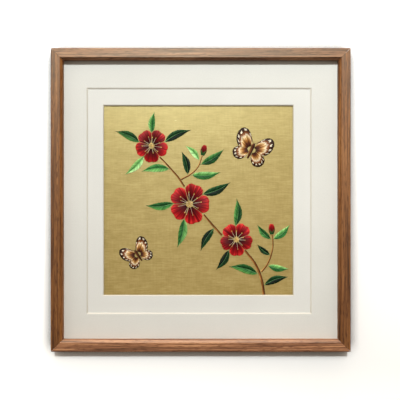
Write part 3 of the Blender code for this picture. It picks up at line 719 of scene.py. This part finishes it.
butterflies = {
    "rows": {"large": (84, 80, 38, -24), "small": (-96, -86, 30, 34)},
    # a right wing's outline seen from the body: degrees above the horizontal, and reach as a share of the span
    "outline": ((-82, 0.42), (-68, 0.66), (-52, 0.77), (-36, 0.77), (-20, 0.68), (-8, 0.53), (4, 0.62),
                (18, 0.76), (32, 0.89), (44, 0.98), (54, 0.99), (64, 0.86), (73, 0.60), (80, 0.36)),
    "fold": -8,          # the angle where the hind wing meets the fore wing
    "gap": 1.2,          # degrees of bare silk on either side of the fold
    "root": 0.085,       # half the body's width as a share of the span
    "wingFoot": (1.4, 0.66),         # where the stitches and the wing itself start, by the root
    "squash": 0.92,      # a wing's height against its outline
    "crown": 0.5,
    "cells": 16,         # mesh rows along a stitch
    "feelerWidth": 0.6, "feelerKnot": 0.65,
    "tail": 0.40, "head": 0.27,      # where the body ends behind and in front, by span
    "body": ((0, 0.35), (0.3, 0.75), (0.6, 0.85), (0.86, 0.9), (1, 0.5)),     # way up the body, and its width
    "feeler": ((0.06, 0.30), (0.16, 0.42), (0.30, 0.52)),                     # sideways and forward, by span
}


def wingReach(angle):
    # the outline drawn smoothly through its points
    outline = butterflies["outline"]
    after = next((i for i, point in enumerate(outline) if point[0] >= angle), len(outline) - 1)
    after = max(after, 1)
    first, second = outline[after - 1], outline[after]
    slopeIn = (second[1] - outline[max(after - 2, 0)][1]) / 2
    slopeOut = (outline[min(after + 1, len(outline) - 1)][1] - first[1]) / 2
    t = (angle - first[0]) / (second[0] - first[0])
    return ((2 * t ** 3 - 3 * t ** 2 + 1) * first[1] + (t ** 3 - 2 * t ** 2 + t) * slopeIn
            + (3 * t ** 2 - 2 * t ** 3) * second[1] + (t ** 3 - t ** 2) * slopeOut)


def makeButterfly(name, x, y, span, heading):
    turn = math.radians(heading)
    facing = Vector((-math.sin(turn), math.cos(turn)))
    rightward = Vector((facing.y, -facing.x))
    centre, root = Vector((x, y)), butterflies["root"] * span
    lowest, highest = butterflies["outline"][0][0], butterflies["outline"][-1][0]
    fold = butterflies["fold"]
    stitchFoot, wingFoot = butterflies["wingFoot"]
    for sideName, side in (("right", 1), ("left", -1)):
        bm = newWork()
        for low, high in ((lowest, fold - butterflies["gap"]), (fold + butterflies["gap"], highest)):
            def lay(u, v):
                angle = low + (high - low) * u
                reach = root * stitchFoot + (span * wingReach(angle) - root * stitchFoot) * v
                sidestep = root * wingFoot + reach * math.cos(math.radians(angle))
                forward = reach * math.sin(math.radians(angle)) * butterflies["squash"]
                return centre + rightward * (side * sidestep) + facing * forward

            def lift(u, v):
                return stitchLook["edge"] + butterflies["crown"] * (
                    math.sin(math.pi * u) ** 0.4 * math.sin(math.pi * (0.08 + 0.86 * v)) ** 0.5)

            count = round(math.radians(high - low) * span * 0.75 / stitchLook["pitch"])
            satin(bm, count, butterflies["cells"], lay, lift, tone=random.uniform(0.35, 0.65))
        finishPiece(f"{name}Butterfly{sideName.title()}Wings", bm, [threads["wing"]],
                    [f"butterfly_{name}_{sideName}_wings"], "wing_brown")

    bm = newWork()
    tail = centre - facing * (butterflies["tail"] * span)
    head = centre + facing * (butterflies["head"] * span)
    line = [tail.lerp(head, step / 20) for step in range(21)]
    profile = butterflies["body"]

    def widthAt(u):
        after = next(i for i, point in enumerate(profile) if point[0] >= u - 1e-9)
        first, second = profile[max(after - 1, 0)], profile[after]
        share = (u - first[0]) / max(second[0] - first[0], 1e-9)
        return 2 * root * (first[1] + (second[1] - first[1]) * min(1, share))

    cord(bm, line, widthAt, plump=0.28, strands=2, lean=0.2, tone=0.5)
    for side in (1, -1):
        points = [head] + [centre + rightward * (side * a * span) + facing * (b * span)
                           for a, b in butterflies["feeler"]]
        feeler = smoothLine(points, 8)
        cord(bm, feeler, lambda u: butterflies["feelerWidth"], plump=0.45)
        knot(bm, *feeler[-1], butterflies["feelerKnot"], 0.35)
    finishPiece(name + "ButterflyBody", bm, [threads["body"]], [f"butterfly_{name}_body"], "body_brown")


for name, row in butterflies["rows"].items():
    makeButterfly(name, *row)
print("butterflies stitched:", len(butterflies["rows"]))


# Silk ground

ground = {
    "cut": 400,          # mm each way, cut with a margin that lies under the mats
    "cells": 160,
    "level": -0.1,       # mm from the stitching's foot
    "sway": 0.07,        # mm by which stretched cloth still rises and falls
    "thickness": 0.3,
}


def makeGround():
    bm = newWork()
    made = bmesh.ops.create_grid(bm, x_segments=ground["cells"], y_segments=ground["cells"],
                                 size=ground["cut"] / 2)["verts"]
    for vert in made:
        x, y = vert.co.x, vert.co.y
        slow = noise.noise((x / 46, y / 38, 3.1)) * 0.7 + noise.noise((x / 17, y / 12, 8.4)) * 0.3
        vert.co.z = ground["level"] + ground["sway"] * slow
    uvs = bm.loops.layers.uv["threads"]
    for face in bm.faces:
        for loop in face.loops:
            loop[uvs].uv = (loop.vert.co.x / ground["cut"] + 0.5, loop.vert.co.y / ground["cut"] + 0.5)
    piece = finishPiece("silkGround", bm, [goldSilk("oldGoldSilk")], ["silk_panel"], "gold_silk")
    if piece.data.polygons[0].normal.y > 0:
        piece.data.flip_normals()
    solidify = piece.modifiers.new("clothThickness", "SOLIDIFY")
    solidify.thickness = ground["thickness"] / 1000
    solidify.offset = -1


makeGround()
print("silk stretched")


# Rails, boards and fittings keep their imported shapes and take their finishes

railCuts = {
    # finish, axis of the grain, place in the plank, tone and depth of colour of each rail
    "rail_top": ("waxedWalnutTop", 0, (0.31, 0, 0.11), 0.94, 0.92),
    "rail_bottom": ("waxedWalnutBottom", 0, (1.72, 0.4, 0.63), 1.78, 0.9),
    "rail_left": ("waxedWalnutLeft", 2, (0.57, 0.2, 1.37), 0.85, 1.05),
    "rail_right": ("waxedWalnutRight", 2, (2.21, 0.7, 0.29), 0.96, 1.02),
}
finishes = {node: walnutWood(*cut) for node, cut in railCuts.items()}
finishes |= {
    "mat_outer": matBoard("cottonMatBoardOuter", ((0.2, "#e1e0da"), (0.8, "#e8e7e1")), "#dfdacf"),
    "mat_inner": matBoard("cottonMatBoardInner", ((0.2, "#e3e2dd"), (0.8, "#eae9e4")), "#dcd6c6"),
    "mat_spacer": plainBoard("foamBoard", ((0.2, "#d9d8d2"), (0.8, "#e6e5df")), 300, 0.8, 0.0001),
    "backing_board": plainBoard("pressedHardboard", ((0.25, "#5a4230"), (0.5, "#70543c"), (0.75, "#8a6b4c")),
                                240, 0.8, 0.0003),
}
zinc = zincSteel("zincPlatedSteel")
felt = plainBoard("darkFelt", ((0.25, "#241d19"), (0.75, "#463a32")), 900, 1.0, 0.0004)
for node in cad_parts:
    if node.startswith("point_") or node == "sawtooth_hanger":
        finishes[node] = zinc
    elif node.startswith("bumper_"):
        finishes[node] = felt
for node, material in finishes.items():
    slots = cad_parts[node].data.materials
    slots.clear()
    slots.append(material)
print("finishes given:", len(finishes))


# Stage, lights and camera

studio = {
    "middle": (0, 0, -0.226),        # of the frame, in metres
    "floorLevel": -1.25, "floorSize": 12, "floorColour": "#e9e8e5", "floorGlow": ("#dfe6f2", 0.22),
    "wallSize": 5, "wallGap": 0.0004,
    "wallAcross": (-0.3, 0.3, 1.62, 1.2),       # from this x to that, and how white the wall is at both
    "wallDown": (-0.49, -0.58, 1, 1.25),        # from this z to that, and how much whiter it gets
    "shadeReach": 0.022, "shadeDepth": 0.05,    # soft shade round the frame: metres, and the share left
    "keyPlace": (-0.5, -25, 9.45), "keyAim": (0.42, 0, 1.78), "keyPower": 47000,
    "keyRadius": 0.86, "keyCone": 11.5, "keyColour": "#f9ffff",
    "topPlace": (0, -0.25, 1.9), "topPower": 25, "topSize": (1.2, 0.2),
    "sidePlace": (-3.2, -3.4, 0.5), "sidePower": 8, "sideSize": 1.6,
    "rearPlace": (0.8, 3.0, 0.9), "rearPower": 150, "rearSize": 2.0,
    "skyLow": 0.02, "skyHigh": 0.74, "skyColour": "#ffefdc", "skyShown": "#f3f3f2",
}


def stagePlane(name, size, place, turn, material):
    bm = bmesh.new()
    bmesh.ops.create_grid(bm, x_segments=1, y_segments=1, size=size / 2)
    matrix = Matrix.Translation(place) @ Matrix.Rotation(math.radians(turn), 4, "X")
    bmesh.ops.transform(bm, matrix=matrix, verts=bm.verts)
    mesh = bpy.data.meshes.new(name)
    bm.to_mesh(mesh)
    bm.free()
    mesh.materials.append(material)
    plane = bpy.data.objects.new(name, mesh)
    bpy.context.scene.collection.objects.link(plane)
    return plane


floorColour, floorStrength = studio["floorGlow"]
floorPaint = newMaterial("paleFloor", {
    "Base Color": hexColour(studio["floorColour"]), "Roughness": 0.9,
    "Emission Color": hexColour(floorColour), "Emission Strength": floorStrength})[0]
floor = stagePlane("paleFloor", studio["floorSize"], (0, 0, studio["floorLevel"]), 0, floorPaint)

# The wall is matte white and one-sided, so that the views from behind see the frame's back. It is whiter to the
# left and low down, where the key light fades. Neither it nor the floor throws light back, so the sky's colours
# alone set the soft light.
wallPaint, wallTree, wallShader = newMaterial("whiteWall", {})
wallTree.nodes.remove(wallShader)
place = addNode(wallTree, "SeparateXYZ", inputs={0: addNode(wallTree, "TexCoord").outputs["Object"]}).outputs
left, right, leftWhite, rightWhite = studio["wallAcross"]
across = addNode(wallTree, "MapRange", inputs={
    0: place["X"], 1: left, 2: right, 3: leftWhite, 4: rightWhite}).outputs[0]
high, low, highGain, lowGain = studio["wallDown"]
down = addNode(wallTree, "MapRange", inputs={
    0: place["Z"], 1: high, 2: low, 3: highGain, 4: lowGain}).outputs[0]
white = addNode(wallTree, "Math", {"operation": "MULTIPLY"}, {0: across, 1: down}).outputs[0]
openness = addNode(wallTree, "AmbientOcclusion", {"samples": 8},
                   {"Distance": studio["shadeReach"]}).outputs["AO"]
shade = addNode(wallTree, "MapRange", inputs={
    0: openness, 1: 0.5, 2: 1, 3: studio["shadeDepth"], 4: 1}).outputs[0]
white = addNode(wallTree, "Math", {"operation": "MULTIPLY"}, {0: white, 1: shade}).outputs[0]
matte = addNode(wallTree, "BsdfDiffuse", inputs={"Color": white})
clear = addNode(wallTree, "BsdfTransparent")
seen = addNode(wallTree, "MixShader", inputs={0: addNode(wallTree, "NewGeometry").outputs["Backfacing"],
                                              1: matte.outputs[0], 2: clear.outputs[0]})
wallTree.links.new(seen.outputs[0], wallTree.nodes["Material Output"].inputs["Surface"])
wall = stagePlane("whiteWall", studio["wallSize"], (0, studio["wallGap"], 0), 90, wallPaint)
for plane in (floor, wall):
    plane.visible_diffuse = plane.visible_glossy = plane.visible_transmission = False
wall.visible_shadow = False


def addLight(name, kind, place, aim, power, **settings):
    lamp = bpy.data.lights.new(name, kind)
    lamp.energy = power
    for key, value in settings.items():
        setattr(lamp, key, value)
    holder = bpy.data.objects.new(name, lamp)
    holder.location = place
    holder.rotation_euler = (Vector(aim) - Vector(place)).to_track_quat("-Z", "Y").to_euler()
    bpy.context.scene.collection.objects.link(holder)


addLight("keyLight", "SPOT", studio["keyPlace"], studio["keyAim"], studio["keyPower"],
         color=hexColour(studio["keyColour"])[:3], shadow_soft_size=studio["keyRadius"],
         spot_size=math.radians(studio["keyCone"]), spot_blend=1)
addLight("topLight", "AREA", studio["topPlace"], (0, -0.25, 0), studio["topPower"], shape="RECTANGLE",
         size=studio["topSize"][0], size_y=studio["topSize"][1])
addLight("sideLight", "AREA", studio["sidePlace"], studio["middle"], studio["sidePower"],
         size=studio["sideSize"])
addLight("rearLight", "AREA", studio["rearPlace"], studio["middle"], studio["rearPower"],
         size=studio["rearSize"])

world = bpy.data.worlds.new("softStudio")
world.use_nodes = True
bpy.context.scene.world = world
sky = world.node_tree
up = addNode(sky, "SeparateXYZ", inputs={0: addNode(sky, "TexCoord").outputs["Generated"]}).outputs["Z"]
glow = addNode(sky, "MapRange", inputs={
    0: up, 1: -1, 2: 1, 3: studio["skyLow"], 4: studio["skyHigh"]}).outputs[0]
lit = addNode(sky, "Background", inputs={"Color": hexColour(studio["skyColour"]), "Strength": glow})
shown = addNode(sky, "Background", inputs={"Color": hexColour(studio["skyShown"])})
mixed = addNode(sky, "MixShader", inputs={0: addNode(sky, "LightPath").outputs["Is Camera Ray"],
                                          1: lit.outputs[0], 2: shown.outputs[0]})
sky.links.new(mixed.outputs[0], sky.nodes["World Output"].inputs["Surface"])

cameraSet = {
    # the photograph has no keystone, so the camera faces the wall squarely, close to the frame's middle
    "place": (-0.015, -1.3854, -0.232), "tilt": 90,
    "lens": 78.26, "sensor": 36, "shift": (0.0224, 0.0094), "nearest": 0.05,
}
camera = bpy.data.cameras.new("camera")
camera.lens, camera.sensor_width = cameraSet["lens"], cameraSet["sensor"]
camera.shift_x, camera.shift_y = cameraSet["shift"]
camera.clip_start = cameraSet["nearest"]
cameraHolder = bpy.data.objects.new("camera", camera)
cameraHolder.location = cameraSet["place"]
cameraHolder.rotation_euler = (math.radians(cameraSet["tilt"]), 0, 0)
bpy.context.scene.collection.objects.link(cameraHolder)
bpy.context.scene.camera = cameraHolder
bpy.context.scene.view_settings.view_transform = "Standard"
print("stage set")
